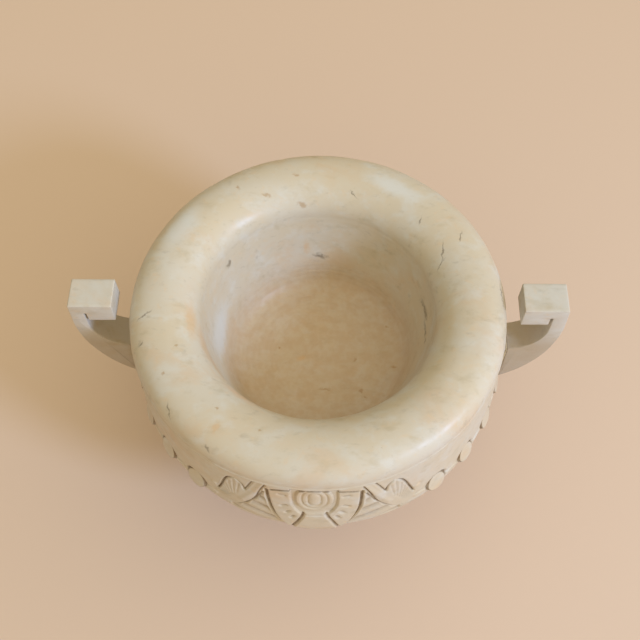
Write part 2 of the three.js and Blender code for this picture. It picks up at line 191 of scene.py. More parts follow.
# a mesh skin through rings of corners in millimetres; a ring may have several times the corners of the
# next one, and a ring of one corner closes the skin to a point
def skinRings(name, rings, wraps=False, capped=False, soilAndShade=None):
    counts = [len(ring) for ring in rings]
    starts = np.concatenate([[0], np.cumsum(counts)]).astype(int)
    pairs = [(i, i + 1) for i in range(len(rings) - 1)]
    if wraps:
        pairs.append((len(rings) - 1, 0))
    groups = []
    for i, j in pairs:
        few = min(counts[i], counts[j])
        steps = np.arange(few if few > 1 else max(counts[i], counts[j]))
        sides = []
        for k, forward in ((i, True), (j, False)):
            if counts[k] == 1:
                sides.append(np.full(len(steps), starts[k]))
                continue
            parts = counts[k] // len(steps)
            order = range(parts + 1) if forward else range(parts, -1, -1)
            sides += [starts[k] + (steps * parts + t) % counts[k] for t in order]
        groups.append(np.stack(sides, 1))
    if capped:
        groups.append((starts[0] + np.arange(counts[0])[::-1])[None])
        groups.append((starts[-2] + np.arange(counts[-1]))[None])
    corners = np.vstack(rings) * mm
    loops = np.concatenate([group.reshape(-1) for group in groups])
    sizes = np.concatenate([np.full(len(group), group.shape[1]) for group in groups])
    mesh = bpy.data.meshes.new(name)
    mesh.vertices.add(len(corners))
    mesh.vertices.foreach_set("co", corners.astype(np.float32).reshape(-1))
    mesh.loops.add(len(loops))
    mesh.loops.foreach_set("vertex_index", loops.astype(np.int32))
    mesh.polygons.add(len(sizes))
    mesh.polygons.foreach_set("loop_start", (np.cumsum(sizes) - sizes).astype(np.int32))
    mesh.update(calc_edges=True)
    mesh.validate()
    if soilAndShade is not None:
        layer = mesh.attributes.new("soilAndShade", "FLOAT", "POINT")
        layer.data.foreach_set("value", np.concatenate(soilAndShade).astype(np.float32))
    mesh.polygons.foreach_set("use_smooth", np.ones(len(mesh.polygons), dtype=bool))
    piece = bpy.data.objects.new(name, mesh)
    scene.collection.objects.link(piece)
    return piece


# the incised festoon on the upper wall, alike on both sides and on the back: points are (s, d) in
# millimetres, s along the wall from the middle of the front and d down from the rim line, and each
# cut says its half width and its depth
# the soil values darken hollows, grooves and recess rims: partly soil, partly painted shade
festoon = {
    "wallRadius": 184.0,
    "driftMm": 0.35,
    "tablet": {
        "halfWidth": 44.4, "height": 101.0, "square": 2.5, "half": 3.1, "depth": 3.0,
        "headProud": 0.4, "footProud": 4.0,
    },
    "tabletTop": {
        "drop": 10.6, "bow": 6.6, "halfWidth": 41.0, "half": 2.2, "depth": 2.2, "soilAndShade": 3.0, "soilAndShadeDrop": 0.8,
    },
    "channel": {
        "outer": ((5, 22.4), (28, 22.4), (44, 20.8), (55, 17.2), (64, 12.5)), "to": 60.0, "depth": 2.2,
        "slope": 0.9, "fade": 6.0, "cornerHalf": 1.6, "cornerSoilAndShade": 1.4,
    },
    "legEdge": {"points": ((10.5, 63), (12.5, 72), (16, 82), (20, 94), (23, 103)), "half": 3.0, "depth": 2.6},
    "bossOval": {
        "drop": 28.5, "halfWidth": 17.6, "halfHeight": 24.0, "square": 2.2, "dome": 0.8, "soilAndShade": 0.9,
    },
    "bossRings": ((5.3, 1.8, 1.1), (11.4, 1.7, 1.0)),
    "bar": {
        "halfWidth": 11.0, "from": 55.0, "to": 63.0, "proud": 0.9,
        "lineDrop": 66.5, "lineHalf": 1.8, "lineDepth": 0.9,
    },
    "slots": {
        "middles": ((30, 24), (29, 46), (25.4, 60), (21, 71)), "halfLength": 5.8, "half": 3.6, "depth": 1.5,
        "soilAndShade": 1.2,
    },
    "strapLow": {
        "points": ((43, 5), (51.5, 28), (57.5, 50), (65, 65), (77, 83), (86, 88)), "half": 2.0, "depth": 2.4,
        "fadeFrom": 78.0, "fadeTo": 94.0,
    },
    "strapHigh": {"points": ((54, 5), (60, 18), (66.5, 36)), "half": 1.8, "depth": 2.2},
    "strapCrest": {"points": ((45, 5), (55, 28), (64, 48), (71, 62)), "half": 5.0, "proud": 0.9},
    "leaflets": {
        "from": 30.0, "to": 95.0, "recess": 2.2, "pitch": 19.0, "lobe": 1.9, "slant": (0.34, 0.94),
        "soilAndShade": 0.6, "valleySoilAndShade": 1.2,
    },
    "leafWedge": {"points": ((48, 27), (52, 38), (57, 50)), "half": 2.6, "depth": 2.0},
    "shellEdge": {
        "points": ((66.5, 36), (68, 27), (72, 20), (77, 18), (83, 24), (88, 36), (92, 50), (97, 66)),
        "half": 1.9, "depth": 2.8,
    },
    "shellLeft": ((18, 76), (20, 73), (27, 69), (36, 67.5), (50, 73), (66, 81), (80, 89)),
    "shellRight": ((18, 77), (24, 82), (36, 87), (50, 91), (66, 96), (80, 100)),
    "flutes": {
        "root": (80, 84), "pitchDeg": 5.6, "depth": 0.8, "soilAndShade": 1.2,
        "from": 19.0, "full": 23.0, "fadeFrom": 66.0, "to": 80.0,
    },
    "knob": {"place": (100.5, 56), "radius": 3.8, "proud": 1.1},
    "string": {
        "drop": 82.0, "half": 4.2, "proud": 1.0, "from": 97.0,
        "lineOut": 0.8, "lineHalf": 1.2, "lineDepth": 1.0,
    },
    "discs": {
        "anglesDeg": (38.8, 51.9, 65.0, 78.1), "drop": 79.0, "halfWidth": 11.0, "halfHeight": 14.5,
        "proud": 1.4, "leanDeg": 12.0, "rim": 2.8, "worn": 1.8, "wornDrop": 0.8,
        "recessLift": 0.8, "recessHalfWidth": 13.8, "recessHalfHeight": 18.0,
        "soilAndShade": 3.0, "soilAndShadeReach": 0.8, "soilAndShadeFade": 0.5, "soilAndShadeOnEdge": (0.4, 1.8),
    },
}


def lineDistance(x, y, points):
    nearest = np.full(x.shape, 1e9)
    course = np.array(smoothPoints(points, 3.0))
    for start, end in zip(course, course[1:]):
        length = math.dist(start, end)
        step = (end - start) / length
        along = np.clip((x - start[0]) * step[0] + (y - start[1]) * step[1], 0, length)
        off = np.hypot(x - start[0] - along * step[0], y - start[1] - along * step[1])
        nearest = np.minimum(nearest, off)
    return nearest


# how far a point lies inside an oval, about in millimetres; a square of 2 is an ellipse
def insideOval(x, y, halfWidth, halfHeight, square):
    u, v = np.abs(x) / halfWidth, np.abs(y) / halfHeight
    size = (u ** square + v ** square) ** (1 / square) + 1e-9
    slope = np.hypot((u / size) ** (square - 1) / halfWidth, (v / size) ** (square - 1) / halfHeight)
    return (1 - size) / (slope + 1e-9)


# depth of a cut with worn shoulders
def cutDepth(distance, half, depth):
    return depth * rise(half - distance, 0, half)


def cutAlong(s, d, cut):
    return cutDepth(lineDistance(s, d, cut["points"]), cut["half"], cut["depth"])


# height over the plain wall, depth of the cuts, and soil with painted shade off the cuts, all in millimetres
def tabletRelief(s, d):
    tablet, top, channel = festoon["tablet"], festoon["tabletTop"], festoon["channel"]
    oval, bar, slots = festoon["bossOval"], festoon["bar"], festoon["slots"]
    down = d - bowlShape["shoulderDrop"]
    inside = insideOval(s, down, tablet["halfWidth"], tablet["height"], tablet["square"])
    below = d - top["drop"] - top["bow"] * (s / top["halfWidth"]) ** 2
    cuts = cutDepth(np.abs(inside), tablet["half"], tablet["depth"]) * rise(below, -2, 1)
    topEnds = rise(top["halfWidth"] + 2 - s, 0, 4)
    cuts = np.maximum(cuts, topEnds * cutDepth(np.abs(below), top["half"], top["depth"]))
    cuts = np.maximum(cuts, cutAlong(s, d, festoon["legEdge"]) * rise(inside, 0, 3))
    boss = insideOval(s, d - oval["drop"], oval["halfWidth"], oval["halfHeight"], oval["square"])
    outer = np.array(channel["outer"])
    slope, fade, corner = channel["slope"], channel["fade"], channel["cornerHalf"]
    within = (np.interp(d, outer[:, 0], outer[:, 1]) - s) * rise(channel["to"] + fade - d, 0, fade)
    sunk = rise(within, -slope, slope) * rise(-boss, -slope, slope) * rise(channel["to"] - d, -fade, 2)
    height = -channel["depth"] * sunk
    # soil and painted shade along the channel's walls
    corners = cutDepth(np.abs(within - 1), corner, 1) + cutDepth(np.abs(boss + 1), corner, 1)
    grimeAndShade = channel["cornerSoilAndShade"] * sunk * corners
    for ring, half, depth in festoon["bossRings"]:
        groove = cutDepth(np.abs(boss - ring), half, depth)
        height = height - groove
        grimeAndShade = np.maximum(grimeAndShade, oval["soilAndShade"] * groove)
    height = height + oval["dome"] * rise(boss, festoon["bossRings"][-1][0], oval["halfWidth"])
    across = rise(bar["halfWidth"] - s, 0, 2)
    swell = rise(d, bar["from"] - 2, bar["to"] - 1) * rise(bar["to"] - d, -1, 1)
    height = height + bar["proud"] * across * swell
    line = across * cutDepth(np.abs(d - bar["lineDrop"]), bar["lineHalf"], bar["lineDepth"])
    height = height - line
    grimeAndShade = np.maximum(grimeAndShade, line)
    for middleS, middleD in slots["middles"]:
        outS, outD = middleS, middleD - oval["drop"]
        length = math.hypot(outS, outD)
        along = ((s - middleS) * outS + (d - middleD) * outD) / length
        aside = ((s - middleS) * outD - (d - middleD) * outS) / length
        reach = np.hypot(np.maximum(np.abs(along) - slots["halfLength"] + slots["half"], 0), aside)
        slot = cutDepth(reach, slots["half"], slots["depth"])
        height = height - slot
        grimeAndShade = np.maximum(grimeAndShade, slots["soilAndShade"] * slot)
    flare = tablet["headProud"] + (tablet["footProud"] - tablet["headProud"]) * (down / tablet["height"]) ** 2
    height = height + flare * rise(inside, 0, 1.5)
    # a dark line of soil and painted shade under the lip, along the tablet's top
    topSoilAndShade = top["soilAndShade"] * cutDepth(np.abs(below - top["soilAndShadeDrop"]), top["half"], 1)
    grimeAndShade = np.maximum(grimeAndShade, topSoilAndShade * topEnds)
    return height, cuts, grimeAndShade * rise(below, -2, 0), inside


def strapRelief(s, d, insideTablet):
    strap = festoon["strapLow"]
    low = np.array(strap["points"])
    cuts = cutAlong(s, d, strap) * rise(strap["fadeTo"] - d, 0, strap["fadeTo"] - strap["fadeFrom"])
    cuts = np.maximum(cuts, cutAlong(s, d, festoon["strapHigh"]))
    crest = festoon["strapCrest"]
    ridge = rise(crest["half"] - lineDistance(s, d, crest["points"]), 0, crest["half"])
    height = crest["proud"] * ridge
    leaflets = festoon["leaflets"]
    field = rise(np.interp(d, low[:, 1], low[:, 0]) - s, 1.0, 3.5) * rise(-insideTablet, 3.0, 5.5)
    field = field * rise(d, leaflets["from"] - 6, leaflets["from"] + 2) * rise(leaflets["to"] + 8 - d, 0, 8)
    slantS, slantD = leaflets["slant"]
    lobes = np.abs(np.cos(np.pi * (d * slantD + s * slantS - leaflets["from"]) / leaflets["pitch"]))
    height = height - field * (leaflets["recess"] - leaflets["lobe"] * lobes)
    cuts = np.maximum(cuts, cutAlong(s, d, festoon["leafWedge"]))
    # darker in the recessed leaf field and most in the valleys between lobes: soil and painted shade
    grimeAndShade = field * (leaflets["soilAndShade"] + leaflets["valleySoilAndShade"] * (1 - lobes))
    return height, cuts, grimeAndShade


def shellRelief(s, d):
    flutes, knob = festoon["flutes"], festoon["knob"]
    cuts = cutAlong(s, d, festoon["shellEdge"])
    left, right = np.array(festoon["shellLeft"]), np.array(festoon["shellRight"])
    field = rise(s - np.interp(d, left[:, 0], left[:, 1]), 0, 3)
    field = field * rise(np.interp(d, right[:, 0], right[:, 1]) - s, 0, 3)
    field = field * rise(d, flutes["from"], flutes["full"])
    field = field * rise(flutes["to"] - d, 0, flutes["to"] - flutes["fadeFrom"])
    bend = np.degrees(np.arctan2(s - flutes["root"][0], np.maximum(flutes["root"][1] - d, 1)))
    wave = 0.5 - 0.5 * np.cos(2 * np.pi * bend / flutes["pitchDeg"])
    height = -flutes["depth"] * field * wave ** 2
    # darker in the flute troughs: soil and painted shade
    grimeAndShade = flutes["soilAndShade"] * field * wave ** 4
    bulb = 1 - (np.hypot(s - knob["place"][0], d - knob["place"][1]) / knob["radius"]) ** 2
    height = height + knob["proud"] * np.sqrt(np.clip(bulb, 0, 1))
    return height, cuts, grimeAndShade


def festoonRelief(s, d):
    height, cuts, grimeAndShade, inside = tabletRelief(s, d)
    strapHeight, strapCuts, strapGrimeAndShade = strapRelief(s, d, inside)
    shellHeight, shellCuts, shellGrimeAndShade = shellRelief(s, d)
    outside = inside < 0
    height = height + outside * (strapHeight + shellHeight)
    cuts = np.maximum(cuts, outside * np.maximum(strapCuts, shellCuts))
    grimeAndShade = np.maximum(grimeAndShade, outside * np.maximum(strapGrimeAndShade, shellGrimeAndShade))
    string, discs = festoon["string"], festoon["discs"]
    across = np.abs(d - string["drop"])
    strung = rise(s, string["from"], string["from"] + 4)
    height = height + strung * string["proud"] * np.sqrt(np.clip(1 - (across / string["half"]) ** 2, 0, 1))
    edgeLine = across - string["half"] - string["lineOut"]
    edgeLine = cutDepth(np.abs(edgeLine), string["lineHalf"], string["lineDepth"])
    cuts = np.maximum(cuts, strung * edgeLine)
    flat = wallRadius(discs["drop"]) + discs["proud"]
    lean = math.tan(math.radians(discs["leanDeg"]))
    for angleDeg in discs["anglesDeg"]:
        across = s - math.radians(angleDeg) * festoon["wallRadius"]
        down = d - discs["drop"]
        disc = insideOval(across, down, discs["halfWidth"], discs["halfHeight"], 2)
        lifted = down + discs["recessLift"]
        recess = insideOval(across, lifted, discs["recessHalfWidth"], discs["recessHalfHeight"], 2)
        face = (flat + down * lean) / np.cos(across / festoon["wallRadius"]) - wallRadius(d)
        away = np.maximum(-disc, 0)
        away = away / (away + np.maximum(recess, 1e-6))
        bed = (face - discs["rim"]) * (1 - away ** 2) + height * away ** 2
        on, near = rise(disc, -0.3, 0.3), rise(recess, -0.2, 0.2)
        worn = (1 - np.clip(disc / discs["worn"], 0, 1)) ** 2
        height = height * (1 - near) + near * (bed * (1 - on) + (face - discs["wornDrop"] * worn) * on)
        cuts = cuts * (1 - near)
        # a dark ring round each disc's recess: soil and painted shade
        rim = rise(discs["soilAndShadeReach"] - away, 0, discs["soilAndShadeFade"]) * (1 - rise(disc, *discs["soilAndShadeOnEdge"]))
        grimeAndShade = grimeAndShade * (1 - near) + discs["soilAndShade"] * near * rim
    return height, cuts, grimeAndShade


def wallRadius(drop):
    shape = bowlShape
    share = np.clip((drop - shape["shoulderDrop"]) / (shape["bellyDrop"] - shape["shoulderDrop"]), 0, 1)
    swell = shape["bellyRadius"] - shape["shoulderRadius"]
    upper = shape["shoulderRadius"] + swell * np.sin(share * np.pi / 2)
    depth = rimHeight - shape["bellyDrop"] - bowlBottom
    under = np.clip((drop - shape["bellyDrop"]) / depth, 0, 1)
    lower = shape["seatRadius"] + (shape["bellyRadius"] - shape["seatRadius"]) * np.sqrt(1 - under ** 2)
    return np.where(drop < shape["bellyDrop"], upper, lower)


def bendHeight(bend, reach):
    share = np.clip((reach - bend["centre"]) / bend["width"], -1, 1)
    return rimHeight - bend["drop"] - bend["height"] * np.sqrt(1 - share ** 2)


def bendReach(bend, height):
    share = np.clip((rimHeight - bend["drop"] - height) / bend["height"], -1, 1)
    return bend["centre"] + bend["width"] * np.sqrt(1 - share ** 2)


# the carved part of the wall as rings with their soil and painted shade: cuts, raised forms and the flat
# handle seats
def carvedRings(rows, columns):
    angles = np.arange(columns) * 2 * np.pi / columns
    front = (angles + np.pi / 2 + np.pi) % (2 * np.pi) - np.pi
    folded = np.minimum(np.abs(front), np.pi - np.abs(front))
    plain, heights = np.array(rows).T
    drops = rimHeight - heights
    d, s = np.meshgrid(drops, folded * festoon["wallRadius"], indexing="ij")
    around = np.broadcast_to(front, d.shape)
    drift = festoon["driftMm"]
    s = s + drift * np.sin(5 * around + d / 17) + 0.5 * drift * np.sin(23 * around - d / 9)
    d = d + drift * np.sin(7 * around + 1.3) + 0.5 * drift * np.sin(31 * around + d / 13)
    height, cuts, grimeAndShade = festoonRelief(s, d)
    fade = rise(drops, *bowlShape["carvedDrops"])[:, None]
    radius = plain[:, None] + fade * (height - cuts)
    # deeper cuts and the marked hollows get more soil and painted shade
    soilAndShade = fade * np.maximum(rise(cuts, 0.6, 2.2), np.clip(grimeAndShade / 3, 0, 1))
    x, y = np.abs(np.cos(angles)), np.abs(radius * np.sin(angles))
    seatTop = bendHeight(handleShape["innerBend"], handleShape["seatReach"])
    reach = np.minimum(handleShape["seatReach"], bendReach(handleShape["outerBend"], heights))[:, None]
    held = rise(handleShape["depth"] / 2 - y, -0.3, 0.3) * (x > 0.9) * (heights < seatTop + 0.2)[:, None]
    seat = np.maximum(radius, reach / np.maximum(x, 0.9))
    held = held * (seat > radius)
    radius = radius * (1 - held) + seat * held
    soilAndShade = soilAndShade * (1 - held)
    x, y = radius * np.cos(angles), radius * np.sin(angles)
    z = np.broadcast_to(heights[:, None], radius.shape)
    scale = 1 + handWobble(x, y, z) * (1 - held) / radius
    rings = list(np.stack([x * scale, y * scale, z], -1))
    return rings, list(soilAndShade)


def plainRing(radius, height, columns, held=False):
    if radius < 0.01:
        return np.array([[0.0, 0.0, height]])
    angles = np.arange(columns) * 2 * np.pi / columns
    x, y = radius * np.cos(angles), radius * np.sin(angles)
    wobble = np.zeros(columns) if held else handWobble(x, y, height)
    flat = held is False and radius < 80
    scale = 1 if flat else 1 + wobble / radius
    return np.stack([x * scale, y * scale, height + wobble * flat], -1)


# a worked stone wall keeps faint, uneven rings from the turning tool
def toolRipple(height):
    pitch = 2 * math.pi / bowlShape["toolPitchMm"]
    size = bowlShape["toolRippleMm"] * (1 + math.sin(height / 9 + 2 * math.sin(height / 23)))
    return size * math.sin(height * pitch + 1.6 * math.sin(height / 7))


def rippled(radius, height):
    edge, width = bowlShape["floorRipple"]
    onWall, onFloor = rise(radius, *bowlShape["wallRipple"]), rise(edge - radius, 0, width)
    return radius + toolRipple(height) * onWall, height + toolRipple(radius) * onFloor


def buildBowl(fineColumns, coarseColumns):
    shape = bowlShape
    belly = rimHeight - shape["bellyDrop"]
    under = (shape["seatRadius"], belly)
    underReach = (shape["bellyRadius"] - shape["seatRadius"], belly - bowlBottom)
    socketTop = bowlBottom + shape["socketDepth"]
    held = [(0.0, socketTop), (shape["socketRadius"], socketTop), (shape["socketRadius"], bowlBottom)]
    seat = linePoints((shape["socketRadius"] + 1, bowlBottom), (shape["seatRadius"], bowlBottom), 12)
    held = joined(held, seat)
    bulge = arcPoints(under, underReach, -88, -24.6, 42)
    carved = arcPoints(under, underReach, -24, 0, 62)[:-1]
    carved += [(float(wallRadius(drop)), rimHeight - drop)
               for drop in np.linspace(shape["bellyDrop"], shape["shoulderDrop"], 122)]
    carved += [(radius, rimHeight - drop) for radius, drop in shape["arris"]]
    crest = (shape["lipCrestRadius"], rimHeight)
    lipReach = (shape["rimRadius"] - crest[0], shape["lipCrestRise"])
    lip = arcPoints(crest, lipReach, -2, 90, 40, shape["lipSquare"])
    throat = rimHeight + shape["lipCrestRise"] - shape["lipInnerDrop"]
    inner = arcPoints((crest[0], throat), (crest[0] - shape["throatRadius"], shape["lipInnerDrop"]),
                      93, shape["throatEndDeg"], 36)
    wallIn = smoothPoints(inner[-1:] + [(radius, rimHeight - drop) for radius, drop in shape["inside"]], 1.2)
    wallIn = [rippled(radius, height) for radius, height in wallIn[:-1]] + [wallIn[-1]]
    rings = [plainRing(radius, height, coarseColumns, True) for radius, height in held]
    rings += [plainRing(radius, height, coarseColumns) for radius, height in bulge]
    soilAndShade = [np.zeros(len(ring)) for ring in rings]
    carvedPart, carvedSoilAndShade = carvedRings(carved, fineColumns)
    rest = [plainRing(radius, height, coarseColumns) for radius, height in joined(lip, inner, wallIn)]
    soilAndShade += carvedSoilAndShade + [np.zeros(len(ring)) for ring in rest]
    return skinRings("marbleBowl", rings + carvedPart + rest, soilAndShade=soilAndShade)


# foot and stem: turned mouldings, with a bore for the rod and a recess for the nut
footShape = {
    "radius": 112.0,
    "plinthHeight": 15.0,
    "rollRadius": 9.0,
    "rollInset": 3.0,
    "topRadius": 58.0,
    "boreRadius": 8.8,
    "recessRadius": 24.0,
    "recessDepth": 22.0,
    "softEdge": 1.4,
}
stemShape = {
    "waistRadius": 37.0,
    "footRadius": 48.0,
    "ringRadius": 56.0,
    "ringHeight": 9.0,
    "neckInset": 6.0,
    "waistShare": 0.6,
    "boreRadius": 8.8,
}


def turnedPiece(name, outline, columns):
    low, high = min(z for r, z in outline), max(z for r, z in outline)
    rings = [plainRing(r, z, columns, r < 30 or z < low + 1.5 or z > high - 1.5) for r, z in outline]
    return skinRings(name, rings, wraps=True)


def buildFoot():
    shape = footShape
    low, high = footLow[2] / mm, footHigh[2] / mm
    radius, soft = shape["radius"], shape["softEdge"]
    roll = shape["rollRadius"]
    rollCentre = shape["plinthHeight"] + roll
    rollReach = radius - roll - shape["rollInset"]
    coveReach = rollReach - shape["rollInset"] - shape["topRadius"]
    coveTop = high - 2
    coveDeep = coveTop - rollCentre - roll
    outline = joined(
        [(shape["boreRadius"], shape["recessDepth"]), (shape["recessRadius"], shape["recessDepth"])],
        [(shape["recessRadius"], low + 1.0), (shape["recessRadius"] + 1.0, low)],
        linePoints((30, low), (radius - soft, low), 10),
        arcPoints((radius - soft, low + soft), (soft, soft), -90, 0, 5),
        arcPoints((radius - soft, shape["plinthHeight"] - soft), (soft, soft), 0, 90, 5),
        arcPoints((rollReach, rollCentre), (roll, roll), -84, 84, 26),
        arcPoints((shape["topRadius"] + coveReach, coveTop), (coveReach, coveDeep), 266, 184, 26),
        [(shape["topRadius"], high - 1.2), (shape["topRadius"] - 1.0, high)],
        linePoints((shape["topRadius"] - 3, high), (shape["boreRadius"], high), 10),
    )
    return turnedPiece("marbleFoot", outline, 256)


def buildStem():
    shape = stemShape
    low, high = stemLow[2] / mm, stemHigh[2] / mm
    half = shape["ringHeight"] / 2
    ringReach = shape["ringRadius"] - half
    waist, waistShare = shape["waistRadius"], shape["waistShare"]
    coveHeight = high - low - shape["ringHeight"]
    cove = []
    for share in np.linspace(0.04, 1, 30):
        below = share < waistShare
        widest = shape["footRadius"] if below else shape["ringRadius"] - shape["neckInset"]
        away = 1 - share / waistShare if below else (share - waistShare) / (1 - waistShare)
        cove.append((waist + (widest - waist) * away * away, low + coveHeight * share))
    outline = joined(
        linePoints((shape["boreRadius"], low), (shape["footRadius"] - 0.8, low), 8),
        [(shape["footRadius"], low + 0.7)],
        cove,
        arcPoints((ringReach, high - half), (half, half), -84, 84, 20),
        linePoints((ringReach - 2, high), (shape["boreRadius"], high), 10),
    )
    return turnedPiece("marbleStem", outline, 256)


# short curves in place of the sharp corners of a closed outline
def softenedCorners(outline, size):
    points = []
    for before, corner, after in zip(outline[-1:] + outline[:-1], outline, outline[1:] + outline[:1]):
        before, corner, after = np.array(before), np.array(corner), np.array(after)
        into = (corner - before) / np.linalg.norm(corner - before)
        out = (after - corner) / np.linalg.norm(after - corner)
        if np.dot(into, out) > 0.9:
            points.append(tuple(corner))
            continue
        back = min(size, 0.45 * np.linalg.norm(corner - before))
        ahead = min(size, 0.45 * np.linalg.norm(after - corner))
        for t in (0, 0.3, 0.7, 1):
            start, end = corner - into * back, corner + out * ahead
            points.append(tuple((1 - t) ** 2 * start + 2 * t * (1 - t) * corner + t * t * end))
    return points


def buildHandle(name, side):
    shape = handleShape
    top, under = rimHeight + shape["blockTopRise"], rimHeight - shape["blockUnderDrop"]
    slitTop = rimHeight + shape["slitRise"]
    bends = {}
    for key in ("innerBend", "outerBend"):
        bend = shape[key]
        start = -math.degrees(math.acos((shape["rootReach"] - bend["centre"]) / bend["width"]))
        centre = (bend["centre"], rimHeight - bend["drop"])
        bends[key] = arcPoints(centre, (bend["width"], bend["height"]), start, 0, 44)
    corners = [(shape["blockInner"], top), (shape["blockInner"], under), (shape["slitReach"], under),
               (shape["slitReach"], slitTop), (shape["armInner"], slitTop)]
    corners += bends["innerBend"][::-1] + bends["outerBend"] + [(shape["blockOuter"], top)]
    soft = softenedCorners(corners, shape["cornerShare"] * shape["wornEdge"])
    outline = []
    for start, end in zip(soft, soft[1:] + soft[:1]):
        outline += linePoints(start, end, shape["sliceMm"])[:-1]
    outline = np.array(outline)
    ahead, behind = np.roll(outline, -1, 0) - outline, outline - np.roll(outline, 1, 0)
    ahead /= np.linalg.norm(ahead, axis=1)[:, None]
    behind /= np.linalg.norm(behind, axis=1)[:, None]
    inward = np.stack([-(ahead + behind)[:, 1], (ahead + behind)[:, 0]], 1)
    inward /= np.linalg.norm(inward, axis=1)[:, None]
    half = shape["depth"] / 2
    edge = shape["wornEdge"]
    slices = [(half, edge), (half - 0.25 * edge, 0.35 * edge), (half - edge, 0.0)]
    middle = [(y, 0.0) for y in np.linspace(half - edge, edge - half, 12)[1:-1]]
    slices = slices + middle + [(-y, inset) for y, inset in slices[::-1]]
    rings = []
    for y, inset in slices:
        x, z = outline.T
        worn = shape["wornDepth"] + 0.5 * handWobble(x * 1.7, y * 1.7 + 40 * side, z * 1.7)
        worn = np.where(x < shape["rootReach"] + 0.5, 0, np.maximum(worn, 0))
        chipped = 1 + shape["chips"] * np.sin(x * 0.31 + z * 0.23 + side) * np.sin(z * 0.61 - x * 0.17)
        moved = outline + inward * (worn + inset * chipped)[:, None]
        rings.append(np.stack([side * moved[:, 0], np.full(len(moved), y), moved[:, 1]], 1))
    if side < 0:
        rings = rings[::-1]
    piece = skinRings(name, rings, capped=True)
    piece.data.set_sharp_from_angle(angle=math.radians(50))
    return piece


# the resin bed between a handle's root and its seat, just short of the faces round it
def buildBed(name, side):
    shape = handleShape
    gap = shape["jointGap"]
    corners = []
    for reach in (shape["seatReach"] + gap, shape["rootReach"] - gap):
        low, high = bendHeight(shape["outerBend"], reach), bendHeight(shape["innerBend"], reach)
        corners += [(reach, low + gap), (reach, high - gap)]
    corners = [corners[i] for i in (0, 2, 3, 1)]
    half = shape["depth"] / 2 - 2 * gap
    rings = [np.array([(side * x, y, z) for x, z in corners]) for y in (half, -half)]
    return skinRings(name, rings if side > 0 else rings[::-1], capped=True)


# nodes: one function turns sRGB hex to linear, and one adds a node with its settings and links
def linearColour(hexText):
    values = [int(hexText[i:i + 2], 16) / 255 for i in (1, 3, 5)]
    return [v / 12.92 if v <= 0.04045 else ((v + 0.055) / 1.055) ** 2.4 for v in values] + [1.0]


def addNode(tree, kind, settings=None, sockets=None, out=0):
    node = tree.nodes.new(kind)
    for name, value in (settings or {}).items():
        setattr(node, name, value)
    for name, value in (sockets or {}).items():
        if isinstance(value, bpy.types.NodeSocket):
            tree.links.new(value, node.inputs[name])
        else:
            node.inputs[name].default_value = value
    return node.outputs[out] if len(node.outputs) else node


mixed = {"data_type": "RGBA", "clamp_factor": True}
eased = {"interpolation_type": "SMOOTHSTEP"}


def newMaterial(name):
    material = bpy.data.materials.new(name)
    material.use_nodes = True
    material.node_tree.nodes.clear()
    return material, material.node_tree


# old ivory marble, turned, carved and honed: a soft sheen on pale cream stone with cool grey clouds,
# pinkish and khaki stains that run along a slanting bedding, small brown flecks, and soil with painted shade
# in the cuts
marbleLook = {
    "base": "#CBBDA5",
    "soilAndShade": "#6E5330",
    "innerTanAndShade": "#BC9F7E",
    "roughness": 0.38,
    "roughSpread": 0.1,
    "sheen": 0.32,
    "grainMm": 0.8,
    "grainDepthMm": 0.05,
    "bedding": (0.5, 0.0, math.radians(35.0)),
}
# the handles are cut from a greyer, closer stone, and the lower part of their arms is browned with painted
# shade
handleLook = dict(marbleLook, base="#C8BFB0", roughness=0.45, armPaintedShade="#9C8158")
# each blotch: its size, how far it is drawn out along the bedding, where its noise starts and is full,
# and how much of its colour shows there
marbleBlotches = (
    {"colour": "#CBC6BC", "sizeMm": 30, "drawn": 1.4, "from": 0.42, "to": 0.66, "most": 0.45,
     "shift": (0, 0, 0)},
    {"colour": "#CCAD88", "sizeMm": 20, "drawn": 1.4, "from": 0.5, "to": 0.74, "most": 0.45,
     "shift": (340, 90, 55)},
    {"colour": "#CFCCC4", "sizeMm": 10, "drawn": 1.3, "from": 0.48, "to": 0.7, "most": 0.5,
     "shift": (50, 20, 470)},
    {"colour": "#B5A688", "sizeMm": 7, "drawn": 1.6, "from": 0.52, "to": 0.76, "most": 0.5,
     "shift": (85, 410, 30)},
    {"colour": "#A39884", "sizeMm": 3.5, "drawn": 2.0, "from": 0.56, "to": 0.78, "most": 0.4,
     "shift": (15, 5, 260)},
    {"colour": "#D4B994", "sizeMm": 4, "drawn": 1.2, "from": 0.54, "to": 0.74, "most": 0.35,
     "shift": (120, 60, 10)},
    {"colour": "#8E7048", "sizeMm": 1.6, "drawn": 1.0, "from": 0.70, "to": 0.80, "most": 0.5,
     "shift": (9, 6, 3)},
)
# fine grey veins in the handles
handleVeins = (
    {"colour": "#9C988F", "sizeMm": 5, "drawn": 2.2, "from": 0.58, "to": 0.74, "most": 0.35,
     "shift": (70, 5, 60)},
    {"colour": "#CDCBC5", "sizeMm": 18, "drawn": 1.2, "from": 0.42, "to": 0.66, "most": 0.45,
     "shift": (5, 70, 160)},
)
